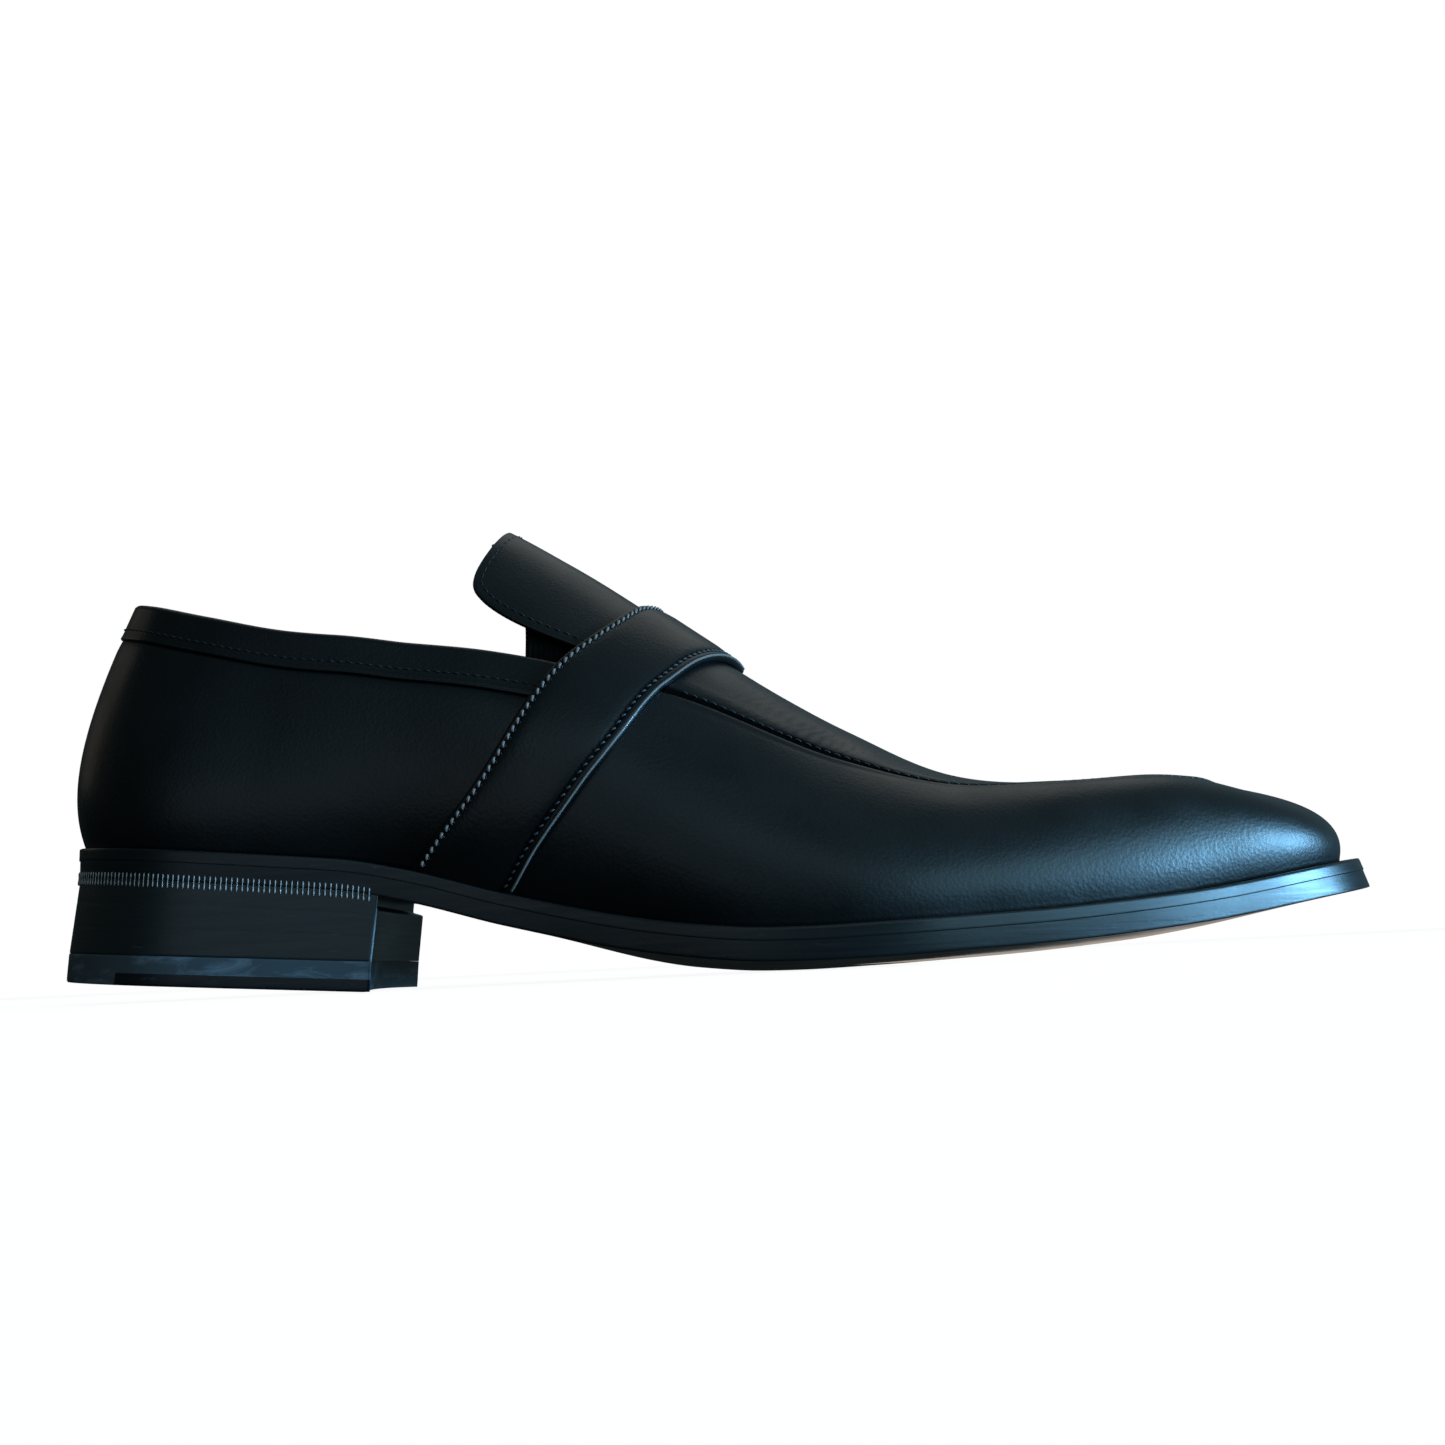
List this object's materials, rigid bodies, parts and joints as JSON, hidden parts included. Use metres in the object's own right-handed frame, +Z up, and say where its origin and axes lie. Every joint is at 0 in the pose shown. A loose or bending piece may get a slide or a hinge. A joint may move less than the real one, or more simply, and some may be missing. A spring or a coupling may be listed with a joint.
{
  "type": "slip-on leather shoe",
  "caption": "Black leather loafer with a raised moccasin apron, a plain saddle strap, a tongue tab with elastic gores and a stacked leather heel.",
  "frame": {"origin": "on the floor under the middle of the shoe's outline, where the heel's front edge and the ball rest", "axes": "+X to the toe, +Y to the inner side of this right shoe, +Z up"},
  "size_m": [0.3092, 0.1055, 0.11],
  "materials": {
    "upper_leather": "smooth polished calf, fine grain, soft gloss",
    "strap_leather": "smooth polished calf with burnished edges",
    "lining_leather": "dull lining calf",
    "sole_edge": "inked and waxed leather edge",
    "sole_leather": "oak-bark brown sole leather, lightly rubbed",
    "heel_rubber": "matt moulded rubber",
    "nail_brass": "dull brass",
    "cork": "ground cork",
    "shank_steel": "plain spring steel",
    "foam": "latex foam",
    "stiffener_board": "leather board",
    "gore_elastic": "ribbed elastic webbing"
  },
  "bodies": {
    "root": {"rubber_heel_tip": "heel_rubber", "leather_top_piece": "sole_edge", "heel_nails": "nail_brass", "heel_wedge": "sole_edge", "heel_lift_lower": "sole_edge", "heel_lift_upper": "sole_edge", "outsole": "sole_leather", "heel_rand": "sole_edge", "welt": "sole_edge", "cork_filler": "cork", "steel_shank": "shank_steel", "insole": "sole_leather", "heel_pad": "foam", "sock_lining": "lining_leather", "lateral_quarter": "upper_leather", "medial_quarter": "upper_leather", "top_collar": "upper_leather", "heel_counter": "stiffener_board", "quarter_lining": "lining_leather", "vamp": "upper_leather", "apron": "upper_leather", "toe_puff": "stiffener_board", "vamp_lining": "lining_leather", "apron_lining": "lining_leather", "tongue_base": "upper_leather", "lateral_gore": "gore_elastic", "medial_gore": "gore_elastic", "strap_lining": "lining_leather", "saddle_strap": "strap_leather"},
    "tongue": {"tongue_flap": "upper_leather", "tongue_lining": "lining_leather"}
  },
  "joints": [
    {"name": "tongue_lift", "type": "hinge", "parent": "root", "child": "tongue", "pos_m": [-0.0138, 0, 0.0863], "axis": [0, 1, 0], "range_deg": [0, 22], "stiffness_Nm_per_rad": 0.02}
  ]
}
